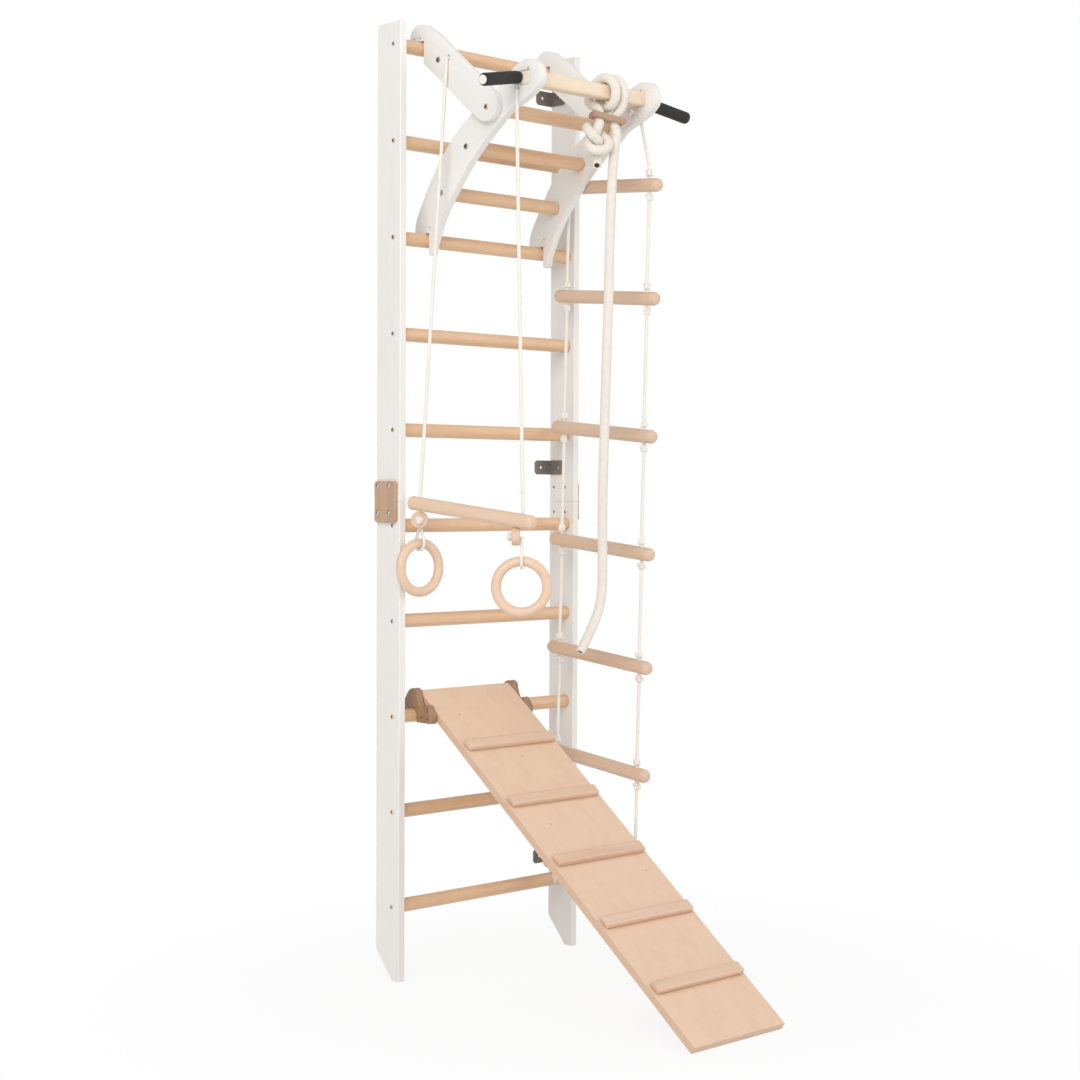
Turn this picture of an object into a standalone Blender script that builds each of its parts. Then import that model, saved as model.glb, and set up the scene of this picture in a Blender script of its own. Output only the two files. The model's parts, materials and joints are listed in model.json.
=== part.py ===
"""Wall bars for the home: two posts with ten rungs, a lift-off pull-up frame that carries a trapeze
with two rings, a rope ladder and a climbing rope, and a climbing board hooked over a low rung.

Metres, +Z up. Places are measured from the middle of the bars (X), from the plane of the rungs'
axes (Y, the wall is at +Y) and from the floor (Z). An empty then moves the whole by rung_plane_y,
so that the part's origin is at the middle of its footprint.
"""
import bpy
import bmesh
import math
from mathutils import Matrix, Vector

# Gaps between solids
fit_gap = 0.0003
rope_gap = 0.0006
cut_overrun = 0.004

# Wall bars
clear_width = 0.530
post_thickness = 0.018
post_front = 0.028
post_rear = 0.057
post_edge = 0.0012
skirting_height = 0.068
foot_flat = 0.025
post_joint_height = 1.105
top_margin = 0.050
rung_count = 10
rung_pitch = 0.220
first_rung_height = 0.170
rung_diameter = 0.032

# Plywood plates that join the post halves
plate_thickness = 0.009
plate_height = 0.095
plate_margin_front = 0.006
plate_margin_rear = 0.002
plate_corner = 0.006
plate_waist = 0.0012

# Steel angle brackets to the wall
bracket_thickness = 0.003
bracket_height = 0.035
bracket_leg = 0.052
bracket_chamfer = 0.006
bracket_hole = 0.008
bracket_hole_inset = 0.020
bracket_heights = (2.105, 1.190, 0.218)

# Pull-up frame
frame_clear_width = 0.342
arm_thickness = 0.018
arm_reach = 0.345
bar_size = 0.032
bar_edge = 0.005
rope_hole = 0.0095
hooked_rungs_apart = 2
nose_depth = 0.034
nose_rise = 0.009
catch_drop = 0.036

# Hand grips
grip_diameter = 0.028
grip_length = 0.1295
grip_core = 0.019
grip_core_showing = 0.0015
grip_set_back = 0.017
grip_sweep = 0.0268
grip_drop = 0.0254

# Climbing board
board_width = 0.279
board_thickness = 0.018
board_left = 0.204
board_foot_reach = 0.880
board_top_reach = 0.003
board_top_above_rung = 0.0575
board_rung = 3
board_edge = 0.001
hook_thickness = 0.018
hook_size = 0.072
cleat_count = 5
cleat_width = 0.028
cleat_height = 0.014
cleat_inset = 0.008
first_cleat = 0.186
cleat_pitch = 0.185
cleat_edge = 0.004

# Trapeze and rings
thin_rope = 0.008
trapeze_diameter = 0.032
trapeze_overhang = 0.033
trapeze_rear_reach = 0.064
trapeze_front_reach = 0.376
trapeze_rear_side = 0.251
trapeze_front_side = 0.218
trapeze_rear_height = 1.100
trapeze_front_height = 1.065
dowel_round = 0.010
disc_diameter = 0.039
disc_thickness = 0.018
disc_edge = 0.002
disc_turn = math.radians(42.7)
rear_disc_reach = 0.0615
front_disc_reach = 0.3555
ring_rope = 0.007
ring_diameter = 0.134
ring_tube = 0.022
ring_hang = 0.054
strand_half_gap = 0.0042
rear_ring_turn = math.radians(0)

# Rope ladder
ladder_rung_diameter = 0.032
ladder_rope_spacing = 0.285
ladder_overhang = 0.035
ladder_rear_reach = 0.065
ladder_splay = 0.004
ladder_lean = 0.037
ladder_rung_drop = 0.026
ladder_first_height = 1.855
ladder_length = 1.645
ladder_height_shares = (0.0, 0.160, 0.354, 0.520, 0.680, 0.832, 1.0)
knot_diameter = 0.017
knot_length = 0.016
rope_tail = 0.014

# Climbing rope
climbing_rope = 0.022
wrap_turns = 1.5
wrap_pitch = 0.025
wrap_start = 0.047
adjuster_length = 0.080
adjuster_width = 0.036
adjuster_thickness = 0.014
adjuster_drop = 0.016
adjuster_turn = math.radians(25.5)
adjuster_edge = 0.002
adjuster_hole = 0.0270
adjuster_hole_spacing = 0.0385
adjuster_middle = 0.0632
adjuster_forward = 0.0015
adjuster_clear = 0.00708
stopper_knot_size = 0.02266

# Counts and angles without a length
round_sides = 28
ladder_sides = 20
drill_sides = 16
notch_steps = 12
wrap_steps = 48
rope_sides_resolution = 2
edge_angle = math.radians(40)
curve_steps = 5
slope_tries = 20

# Worked out from the sizes above
half_clear = clear_width / 2
post_outside = half_clear + post_thickness
post_middle = half_clear + post_thickness / 2
rung_radius = rung_diameter / 2
total_height = first_rung_height + (rung_count - 1) * rung_pitch + top_margin
rung_plane_y = (board_foot_reach - post_rear) / 2
lower_arm_inside = frame_clear_width / 2
lower_arm_outside = lower_arm_inside + arm_thickness
upper_arm_outside = lower_arm_outside + arm_thickness
bar_corner = (bar_size / 2 - bar_edge) * math.sqrt(2) + bar_edge
hook_span = hooked_rungs_apart * rung_pitch
top_rung = first_rung_height + (rung_count - 1) * rung_pitch
third_rung = top_rung - hook_span


def rung_height(number):
    """Height of a wall rung's axis, number 1 being the lowest."""
    return first_rung_height + (number - 1) * rung_pitch


def frame_place(forward_share, up_share):
    """A place on the pull-up frame: Y by the bar's reach, Z by the span of its two hooks."""
    return Vector((-forward_share * arm_reach, third_rung + up_share * hook_span))


bar_y, bar_z = frame_place(1.0, 0.741)
rear_hole_y, rear_hole_z = frame_place(0.305, 0.916)
front_hole_y, front_hole_z = frame_place(0.937, 0.682)
cross_rung_shares = ((0.678, 0.625), (0.427, 0.4545), (0.173, 0.2386))

# Outlines of the arms, in shares of the bar's reach and of the span of the two hooks
upper_arm_shares = (
    (0.311, 0.755), (0.575, 0.588), (0.657, 0.553), (0.745, 0.566), (0.787, 0.628), (0.766, 0.679),
    (0.722, 0.714), (0.627, 0.777), (0.370, 0.938), (0.131, 1.086), (0.017, 1.125), (-0.070, 1.108),
)
lower_arm_shares = (
    (0.060, -0.080), (0.100, -0.018), (0.190, 0.118), (0.345, 0.268), (0.480, 0.380), (0.620, 0.470),
    (0.755, 0.545), (0.855, 0.594), (0.985, 0.632), (1.088, 0.670), (1.145, 0.722), (1.128, 0.788),
    (1.048, 0.829), (0.950, 0.821), (0.878, 0.793), (0.700, 0.700), (0.504, 0.625), (0.356, 0.550),
    (0.165, 0.409), (-0.026, 0.194), (-0.092, 0.095),
)

# The stopper knot under the climbing rope's adjuster, in shares of the knot's size, from the tail up
stopper_knot_shares = (
    (0.07, 0.06, -1.01), (-0.09, -0.11, -0.62), (-0.37, -0.36, -0.36), (-0.75, -0.41, -0.11), (-1.06, -0.26, 0.19),
    (-1.21, 0.02, 0.52), (-1.17, 0.36, 0.83), (-0.95, 0.68, 1.05), (-0.58, 0.93, 1.17), (-0.13, 1.02, 1.16),
    (0.3, 0.96, 1.04), (0.64, 0.75, 0.81), (0.81, 0.45, 0.52), (0.82, 0.09, 0.22), (0.81, -0.27, -0.07),
    (0.77, -0.62, -0.37), (0.59, -0.88, -0.7), (0.28, -0.99, -1.01), (-0.12, -0.95, -1.23), (-0.51, -0.74, -1.33),
    (-0.82, -0.41, -1.3), (-1.0, -0.02, -1.12), (-1.01, 0.32, -0.83), (-0.87, 0.56, -0.46), (-0.61, 0.63, -0.09),
    (-0.33, 0.49, 0.24), (-0.19, 0.19, 0.54), (-0.16, 0.0, 0.96),
)

# Outline of the board's hook plates, in shares of the hook's size from the rung's axis
rear_leg_share = -0.10
hook_shares = (
    (0.93, -0.22), (1.00, -0.04), (0.83, 0.28), (0.74, 0.36), (0.64, 0.30), (0.50, 0.25), (0.37, 0.36),
    (0.27, 0.60), (0.22, 0.79), (-0.06, 0.85), (-0.30, 0.62), (-0.46, 0.25), (-0.50, -0.10),
)


def start_scene():
    """Empties the scene and makes the collections for the parts and for the cutters."""
    for old in list(bpy.data.objects):
        bpy.data.objects.remove(old, do_unlink=True)
    for name in ("climbing_frame", "cutters"):
        if name not in bpy.data.collections:
            group = bpy.data.collections.new(name)
            bpy.context.scene.collection.children.link(group)


def make_material(name, colour, roughness, metallic=0.0):
    """A plain finish for one kind of piece."""
    material = bpy.data.materials.new(name)
    material.use_nodes = True
    shader = material.node_tree.nodes["Principled BSDF"]
    shader.inputs["Base Color"].default_value = (*colour, 1.0)
    shader.inputs["Roughness"].default_value = roughness
    shader.inputs["Metallic"].default_value = metallic
    material.diffuse_color = (*colour, 1.0)
    return material


def add_mesh(name, mesh, material, group="climbing_frame"):
    """Links a mesh as an object of the given name."""
    piece = bpy.data.objects.new(name, mesh)
    bpy.data.collections[group].objects.link(piece)
    if material is not None:
        piece.data.materials.append(material)
    return piece


def apply_modifiers(piece):
    """Turns what the modifiers make into the object's own mesh."""
    bpy.context.view_layer.update()
    depsgraph = bpy.context.evaluated_depsgraph_get()
    mesh = bpy.data.meshes.new_from_object(piece.evaluated_get(depsgraph))
    piece.modifiers.clear()
    piece.data = mesh
    return piece


def bevel(piece, width, steps=2):
    """Rounds the sharp edges."""
    modifier = piece.modifiers.new("edges", "BEVEL")
    modifier.width = width
    modifier.segments = steps
    modifier.limit_method = "ANGLE"
    modifier.angle_limit = edge_angle
    return apply_modifiers(piece)


def combine(piece, other, operation):
    """Cuts another object out of the piece, or joins it on, and removes the other."""
    other.hide_render = True
    other.display_type = "WIRE"
    modifier = piece.modifiers.new("cut", "BOOLEAN")
    modifier.operation = operation
    modifier.solver = "EXACT"
    modifier.object = other
    apply_modifiers(piece)
    bpy.data.objects.remove(other, do_unlink=True)
    return piece


def shade(piece):
    """Smooth shading with sharp edges kept."""
    piece.data.shade_smooth()
    piece.data.set_sharp_from_angle(angle=edge_angle)
    return piece


def block(name, size, middle, material, group="climbing_frame"):
    """A box of the given size."""
    form = bmesh.new()
    bmesh.ops.create_cube(form, size=1.0)
    bmesh.ops.scale(form, vec=Vector(size), verts=form.verts)
    bmesh.ops.translate(form, vec=Vector(middle), verts=form.verts)
    mesh = bpy.data.meshes.new(name)
    form.to_mesh(mesh)
    form.free()
    return add_mesh(name, mesh, material, group)


def rod(name, start, end, diameter, material, group="climbing_frame", sides=round_sides):
    """A round bar from one end's middle to the other's."""
    start = Vector(start)
    end = Vector(end)
    along = end - start
    turn = along.to_track_quat("Z", "Y").to_matrix().to_4x4()
    form = bmesh.new()
    bmesh.ops.create_cone(
        form,
        cap_ends=True,
        segments=sides,
        radius1=diameter / 2,
        radius2=diameter / 2,
        depth=along.length,
        matrix=Matrix.Translation((start + end) / 2) @ turn,
    )
    mesh = bpy.data.meshes.new(name)
    form.to_mesh(mesh)
    form.free()
    return add_mesh(name, mesh, material, group)


def drill(piece, start, end, diameter, sides=12):
    """Drills a hole along a line."""
    drill_bit = rod("drill", start, end, diameter, None, "cutters", sides)
    return combine(piece, drill_bit, "DIFFERENCE")


def plane_matrix(origin, across, up):
    """The place of a flat outline: its own X and Y lie along across and up."""
    across = Vector(across).normalized()
    up = Vector(up).normalized()
    matrix = Matrix((across, up, across.cross(up))).transposed().to_4x4()
    matrix.translation = Vector(origin)
    return matrix


def flat_piece(name, points, thickness, matrix, material, smooth_points=(), group="climbing_frame"):
    """A flat outline of even thickness. The points whose numbers are in smooth_points are curved."""
    curve = bpy.data.curves.new(name, "CURVE")
    curve.dimensions = "2D"
    curve.fill_mode = "BOTH"
    curve.extrude = thickness / 2
    curve.resolution_u = curve_steps
    spline = curve.splines.new("BEZIER")
    spline.bezier_points.add(len(points) - 1)
    spline.use_cyclic_u = True
    for number, (point, knot) in enumerate(zip(points, spline.bezier_points)):
        knot.co = (point[0], point[1], 0)
        handle = "AUTO" if number in smooth_points else "VECTOR"
        knot.handle_left_type = handle
        knot.handle_right_type = handle
    outline = bpy.data.objects.new(name + "_outline", curve)
    bpy.data.collections["cutters"].objects.link(outline)
    outline.matrix_world = matrix
    bpy.context.view_layer.update()
    depsgraph = bpy.context.evaluated_depsgraph_get()
    mesh = bpy.data.meshes.new_from_object(outline.evaluated_get(depsgraph))
    form = bmesh.new()
    form.from_mesh(mesh)
    bmesh.ops.remove_doubles(form, verts=form.verts, dist=fit_gap / 10)
    bmesh.ops.transform(form, matrix=matrix, verts=form.verts)
    bmesh.ops.dissolve_degenerate(form, edges=form.edges, dist=fit_gap / 10)
    bmesh.ops.recalc_face_normals(form, faces=form.faces)
    form.to_mesh(mesh)
    form.free()
    mesh.materials.clear()
    bpy.data.objects.remove(outline, do_unlink=True)
    return add_mesh(name, mesh, material, group)


def smooth_route(points, spacing):
    """Points at an even spacing along a smooth curve through the route's own points."""
    points = [Vector(point) for point in points]
    padded = [2 * points[0] - points[1], *points, 2 * points[-1] - points[-2]]
    fine = []
    steps = 12
    for before, start, end, after in zip(padded, padded[1:], padded[2:], padded[3:]):
        for step in range(steps):
            share = step / steps
            fine.append(0.5 * (
                2 * start
                + (end - before) * share
                + (2 * before - 5 * start + 4 * end - after) * share ** 2
                + (3 * start - before - 3 * end + after) * share ** 3
            ))
    fine.append(points[-1])
    travelled = [0.0]
    for here, there in zip(fine, fine[1:]):
        travelled.append(travelled[-1] + (there - here).length)
    count = max(2, round(travelled[-1] / spacing) + 1)
    route = []
    index = 0
    for number in range(count):
        wanted = travelled[-1] * number / (count - 1)
        while index < len(fine) - 2 and travelled[index + 1] < wanted:
            index += 1
        stretch = travelled[index + 1] - travelled[index]
        route.append(fine[index].lerp(fine[index + 1], (wanted - travelled[index]) / stretch))
    return route


def route_length(route):
    """Length along a list of points."""
    return sum((there - here).length for here, there in zip(route, route[1:]))


def tube(name, route, diameter, material, radii=None):
    """A round cord along a list of points, with filled ends; radii are in units of its own radius."""
    curve = bpy.data.curves.new(name, "CURVE")
    curve.dimensions = "3D"
    curve.bevel_depth = diameter / 2
    curve.bevel_resolution = rope_sides_resolution
    curve.use_fill_caps = True
    spline = curve.splines.new("POLY")
    spline.points.add(len(route) - 1)
    for number, (place, point) in enumerate(zip(route, spline.points)):
        point.co = (*place, 1.0)
        if radii is not None:
            point.radius = radii[number]
    curve.materials.append(material)
    cord = bpy.data.objects.new(name, curve)
    bpy.data.collections["climbing_frame"].objects.link(cord)
    return cord


def rounded_end(route, diameter):
    """Adds a small domed start to a route, so that it turns freely where it leaves its hole."""
    start = route[0]
    along = (route[1] - start).normalized()
    radius = diameter / 2
    dome_shares = ((0.96, 0.28), (0.70, 0.71), (0.0, 1.0))
    dome = [start - along * radius * back for back, _ in dome_shares]
    radii = [wide for _, wide in dome_shares] + [1.0] * (len(route) - 1)
    return dome + list(route[1:]), radii


def hang(name, at, parent):
    """An empty on a joint's axis, which carries the pieces that move there."""
    empty = bpy.data.objects.new(name, None)
    empty.empty_display_size = rung_diameter
    bpy.data.collections["climbing_frame"].objects.link(empty)
    empty.parent = parent
    from_parent = Vector(at) - Vector(parent["at"]) if parent is not None else Vector(at)
    empty.location = from_parent
    empty["at"] = tuple(at)
    return empty


def carry(empty, pieces):
    """Hangs pieces on an empty and keeps them where they are."""
    for piece in pieces:
        piece.parent = empty
        piece.location = -Vector(empty["at"])


def make_post_half(name, side, low, high, paint):
    """One half of a post; the lower one is cut back at the foot to clear a skirting board."""
    rear_low = (post_rear, low + skirting_height) if low == 0 else (post_rear, low)
    outline = [(-post_front, low), (-post_front, high), (post_rear, high), rear_low]
    if low == 0:
        outline.append((foot_flat - post_front, low))
    place = plane_matrix((side * post_middle, 0, 0), (0, 1, 0), (0, 0, 1))
    half = flat_piece(name, outline, post_thickness, place, paint)
    return shade(bevel(half, post_edge, 1))


def make_joint_plate(name, side, plywood):
    """The waisted plywood plate over the joint of a post."""
    front = plate_margin_front - post_front
    rear = post_rear - plate_margin_rear
    half = plate_height / 2
    c = plate_corner
    waist = plate_waist
    outline = [
        (front + c, -half), (rear - c, -half), (rear, c - half), (rear - waist, 0), (rear, half - c),
        (rear - c, half), (front + c, half), (front, half - c), (front + waist, 0), (front, c - half),
    ]
    middle = (side * (post_outside + fit_gap + plate_thickness / 2), 0, post_joint_height)
    place = plane_matrix(middle, (0, 1, 0), (0, 0, 1))
    plate = flat_piece(name, outline, plate_thickness, place, plywood, smooth_points=(3, 8))
    return shade(bevel(plate, post_edge, 1))


def make_bracket(name, side, height, steel):
    """A steel angle: one leg on the post's inner face, one along the wall."""
    half = bracket_height / 2
    cut = bracket_chamfer
    leg = [(0, -half), (bracket_leg - cut, -half), (bracket_leg, cut - half), (bracket_leg, half - cut),
           (bracket_leg - cut, half), (0, half)]
    inner_face = half_clear - fit_gap
    post_leg_x = side * (inner_face - bracket_thickness / 2)
    wall_leg_y = post_rear - bracket_thickness / 2
    on_post = plane_matrix((post_leg_x, post_rear, height), (0, -1, 0), (0, 0, 1))
    on_wall = plane_matrix((side * inner_face, wall_leg_y, height), (-side, 0, 0), (0, 0, 1))
    bracket = flat_piece(name, leg, bracket_thickness, on_post, steel)
    wall_leg = flat_piece("wall_leg", leg, bracket_thickness, on_wall, None, group="cutters")
    combine(bracket, wall_leg, "UNION")
    reach = bracket_leg - bracket_hole_inset
    through = bracket_thickness + cut_overrun
    on_post_y = post_rear - reach
    drill(bracket, (side * inner_face - side * through, on_post_y, height),
          (side * inner_face + side * cut_overrun, on_post_y, height), bracket_hole)
    on_wall_x = side * (inner_face - reach)
    drill(bracket, (on_wall_x, post_rear - through, height),
          (on_wall_x, post_rear + cut_overrun, height), bracket_hole)
    return shade(bracket)


def make_wall_bars(paint, beech, plywood, steel):
    """Posts, joint plates, rungs and wall brackets."""
    pieces = []
    for word, side in (("left", -1), ("right", 1)):
        pieces.append(make_post_half(f"post_{word}_lower", side, 0, post_joint_height - fit_gap, paint))
        pieces.append(make_post_half(f"post_{word}_upper", side, post_joint_height, total_height, paint))
        pieces.append(make_joint_plate(f"joint_plate_{word}", side, plywood))
        for level, height in zip(("top", "middle", "bottom"), bracket_heights):
            pieces.append(make_bracket(f"wall_bracket_{word}_{level}", side, height, steel))
    reach = half_clear - fit_gap
    for number in range(1, rung_count + 1):
        height = rung_height(number)
        rung = rod(f"wall_rung_{number:02d}", (-reach, 0, height), (reach, 0, height), rung_diameter, beech)
        pieces.append(shade(rung))
    return pieces


def notched_outline(shares, lowest, rung_at):
    """An arm's outline: a nose over the rung and a face in front of it, then the given curved points."""
    front = -(rung_radius + fit_gap)
    top = rung_at + rung_radius + fit_gap
    corners = [(nose_depth, top + nose_rise), (nose_depth, top), (front, top), (front, lowest)]
    return corners + [tuple(frame_place(*share)) for share in shares]


def make_arms(side, word, paint):
    """The upper and lower arm of one side."""
    upper = notched_outline(upper_arm_shares, top_rung - catch_drop, top_rung)
    place = plane_matrix((side * (upper_arm_outside - arm_thickness / 2), 0, 0), (0, 1, 0), (0, 0, 1))
    place.translation.x += side * fit_gap / 2
    smooth = [0] + list(range(4, len(upper)))
    upper_arm = flat_piece(f"upper_arm_{word}", upper, arm_thickness - fit_gap, place, paint, smooth)
    lower = notched_outline(lower_arm_shares, third_rung - rung_radius, third_rung)
    place = plane_matrix((side * (lower_arm_outside - arm_thickness / 2), 0, 0), (0, 1, 0), (0, 0, 1))
    smooth = [0] + list(range(4, len(lower)))
    lower_arm = flat_piece(f"lower_arm_{word}", lower, arm_thickness, place, paint, smooth)
    near = side * (lower_arm_inside - cut_overrun)
    far = side * (upper_arm_outside + cut_overrun)
    drill(upper_arm, (near, rear_hole_y, rear_hole_z), (far, rear_hole_y, rear_hole_z), rope_hole)
    drill(lower_arm, (near, front_hole_y, front_hole_z), (far, front_hole_y, front_hole_z), rope_hole)
    socket = bar_size + 2 * fit_gap
    square = block("socket", (arm_thickness + 2 * (cut_overrun + bar_edge), socket, socket),
                   (side * (lower_arm_outside - arm_thickness / 2), bar_y, bar_z), None, "cutters")
    combine(lower_arm, bevel(square, bar_edge, 2), "DIFFERENCE")
    return [shade(upper_arm), shade(lower_arm)]


def make_grip(name, side, foam, beech):
    """A foam sleeve with its wooden core, which shows at the outer end."""
    start = Vector((side * (lower_arm_outside + fit_gap), bar_y + grip_set_back, bar_z))
    turn = start + Vector((side * grip_diameter / 2, 0, 0))
    end = start + Vector((side * grip_length, -grip_sweep, -grip_drop))
    along = (end - turn).normalized()
    sleeve_route = [start, turn, end]
    grip = tube(name, sleeve_route, grip_diameter, foam)
    grip.data.bevel_resolution = 4
    grip = curve_to_mesh(grip, foam)
    core = rod("core", end - along * grip_diameter, end + along * grip_core_showing, grip_core, beech, "cutters")
    return shade(combine(grip, core, "UNION"))


def curve_to_mesh(cord, material):
    """Makes a curve's tube into a closed mesh, for cuts and joins."""
    name = cord.name
    bpy.context.view_layer.update()
    depsgraph = bpy.context.evaluated_depsgraph_get()
    mesh = bpy.data.meshes.new_from_object(cord.evaluated_get(depsgraph))
    form = bmesh.new()
    form.from_mesh(mesh)
    bmesh.ops.remove_doubles(form, verts=form.verts, dist=fit_gap / 10)
    bmesh.ops.recalc_face_normals(form, faces=form.faces)
    form.to_mesh(mesh)
    form.free()
    mesh.materials.clear()
    bpy.data.objects.remove(cord, do_unlink=True)
    return add_mesh(name, mesh, material)


def make_pullup_frame(paint, beech, foam):
    """The arms, the bar, the three cross rungs and the two grips."""
    pieces = []
    for word, side in (("left", -1), ("right", 1)):
        pieces += make_arms(side, word, paint)
        pieces.append(make_grip(f"hand_grip_{word}", side, foam, beech))
    bar = block("pullup_bar", (2 * lower_arm_outside, bar_size, bar_size), (0, bar_y, bar_z), beech)
    pieces.append(shade(bevel(bar, bar_edge, 2)))
    reach = lower_arm_inside - fit_gap
    for letter, share in zip("abc", cross_rung_shares):
        y, z = frame_place(*share)
        rung = rod(f"cross_rung_{letter}", (-reach, y, z), (reach, y, z), rung_diameter, beech)
        pieces.append(shade(bevel(rung, bar_edge, 2)))
    return pieces


def board_frame():
    """The board's own directions: its top corner, the way down the slope and the way up from it."""
    rung_z = rung_height(board_rung)
    top = Vector((-board_top_reach, rung_z + board_top_above_rung))
    slope = math.atan2(top.y, board_foot_reach - board_top_reach)
    for _ in range(slope_tries):
        rise = top.y - board_thickness * math.cos(slope)
        slope = math.atan2(rise, board_foot_reach - board_top_reach)
    down = Vector((-math.cos(slope), -math.sin(slope)))
    out = Vector((-math.sin(slope), math.cos(slope)))
    length = (top.y - board_thickness * math.cos(slope)) / math.sin(slope) + board_edge
    return top, down, out, length, slope


def make_board(plywood, beech):
    """The board, its two hook plates and its cleats."""
    top, down, out, length, slope = board_frame()
    pieces = []
    middle_x = board_width / 2 - board_left
    turn = Matrix.Rotation(slope, 4, "X")

    def on_board(name, size, along, above, material):
        place = top + down * along + out * above
        piece = block(name, size, (0, 0, 0), material)
        piece.data.transform(Matrix.Translation((middle_x, place.x, place.y)) @ turn)
        return piece

    board = on_board("climbing_board", (board_width, length, board_thickness),
                     length / 2, -board_thickness / 2, plywood)
    pieces.append(shade(bevel(board, board_edge, 1)))
    for number in range(cleat_count):
        along = first_cleat + number * cleat_pitch + cleat_width / 2
        above = fit_gap + cleat_height / 2
        cleat = on_board(f"board_cleat_{number + 1}", (board_width - 2 * cleat_inset, cleat_width, cleat_height),
                         along, above, beech)
        pieces.append(shade(bevel(cleat, cleat_edge, 2)))
    rung_z = rung_height(board_rung)
    outline = [(-share[0] * hook_size, share[1] * hook_size) for share in hook_shares]
    fit = rung_radius / math.cos(math.pi / (2 * notch_steps)) + fit_gap
    leg_end = hook_shares[0][1] * hook_size
    notch = [(fit, rear_leg_share * hook_size), (fit, 0)]
    for step in range(1, notch_steps):
        angle = math.pi * step / notch_steps
        notch.append((fit * math.cos(angle), fit * math.sin(angle)))
    notch += [(-fit, 0), (-fit, leg_end)]
    points = notch + outline
    smooth = list(range(len(notch) + 1, len(points) - 1))
    for word, x in (("left", -board_left - fit_gap - hook_thickness / 2),
                    ("right", board_width - board_left + fit_gap + hook_thickness / 2)):
        place = plane_matrix((x, 0, rung_z), (0, 1, 0), (0, 0, 1))
        hook = flat_piece(f"board_hook_{word}", points, hook_thickness, place, plywood, smooth)
        pieces.append(shade(hook))
    return pieces


def side_rope(name, exit_place, end_place, rope_material, drift=0.0):
    """A thin rope from the mouth of its hole, down to the middle of what it carries."""
    exit_place = Vector(exit_place)
    end_place = Vector(end_place)
    fall = end_place - exit_place
    shares = ((0.0, 0.0), (0.02, 0.015), (0.06, 0.05), (0.3, 0.29), (0.6, 0.6), (1.0, 1.0))
    route_points = []
    for down_share, side_share in shares:
        point = exit_place + Vector((fall.x * side_share, fall.y * side_share, fall.z * down_share))
        point.x += drift * math.sin(math.pi * down_share)
        route_points.append(point)
    route = smooth_route(route_points, 3 * thin_rope)
    route, radii = rounded_end(route, thin_rope)
    return tube(name, route, thin_rope, rope_material, radii)


def make_trapeze(beech, rope):
    """The trapeze bar on its two ropes, with an adjuster disc under each end."""
    rear = Vector((-trapeze_rear_side, -trapeze_rear_reach, trapeze_rear_height))
    front = Vector((-trapeze_front_side, -trapeze_front_reach, trapeze_front_height))
    along = (front - rear).normalized()
    bar = rod("trapeze_bar", rear - along * trapeze_overhang, front + along * trapeze_overhang,
              trapeze_diameter, beech)
    bar = shade(bevel(bar, dowel_round, 3))
    pieces = [bar]
    lift = trapeze_diameter / 2 / math.cos(math.asin(-along.z)) + rope_gap
    exits = rope_exits(-1)
    for word, exit_place, seat in (("rear", exits[0], rear), ("front", exits[1], front)):
        top = seat + Vector((0, 0, lift))
        pieces.append(side_rope(f"trapeze_rope_{word}", exit_place, top, rope))
    rings = {}
    for word, reach, turn, ring_turn in (
            ("rear", rear_disc_reach, disc_turn, rear_ring_turn),
            ("front", front_disc_reach, disc_turn + math.pi / 2, disc_turn)):
        share = (reach - trapeze_rear_reach) / (trapeze_front_reach - trapeze_rear_reach)
        axis_point = rear.lerp(front, share)
        middle = axis_point - Vector((0, 0, lift + disc_diameter / 2))
        way = Vector((math.sin(turn), math.cos(turn), 0))
        disc = rod(f"adjuster_disc_{word}", middle - way * disc_thickness / 2,
                   middle + way * disc_thickness / 2, disc_diameter, beech)
        pieces.append(shade(bevel(disc, disc_edge, 1)))
        strand_reach = strand_half_gap * abs(math.cos(turn - ring_turn))
        stand_off = disc_thickness / 2 + ring_rope / 2 + strand_reach + rope_gap
        rings[word] = (middle + way * stand_off, ring_turn)
    return pieces, rings


def rope_exits(side):
    """The two places beside the arms where a hanging rope starts, rear and front."""
    clear = thin_rope / 2 + rope_gap
    rear = Vector((side * (upper_arm_outside + clear), rear_hole_y, rear_hole_z))
    front = Vector((side * (lower_arm_outside + clear), front_hole_y, front_hole_z))
    return rear, front


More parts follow.
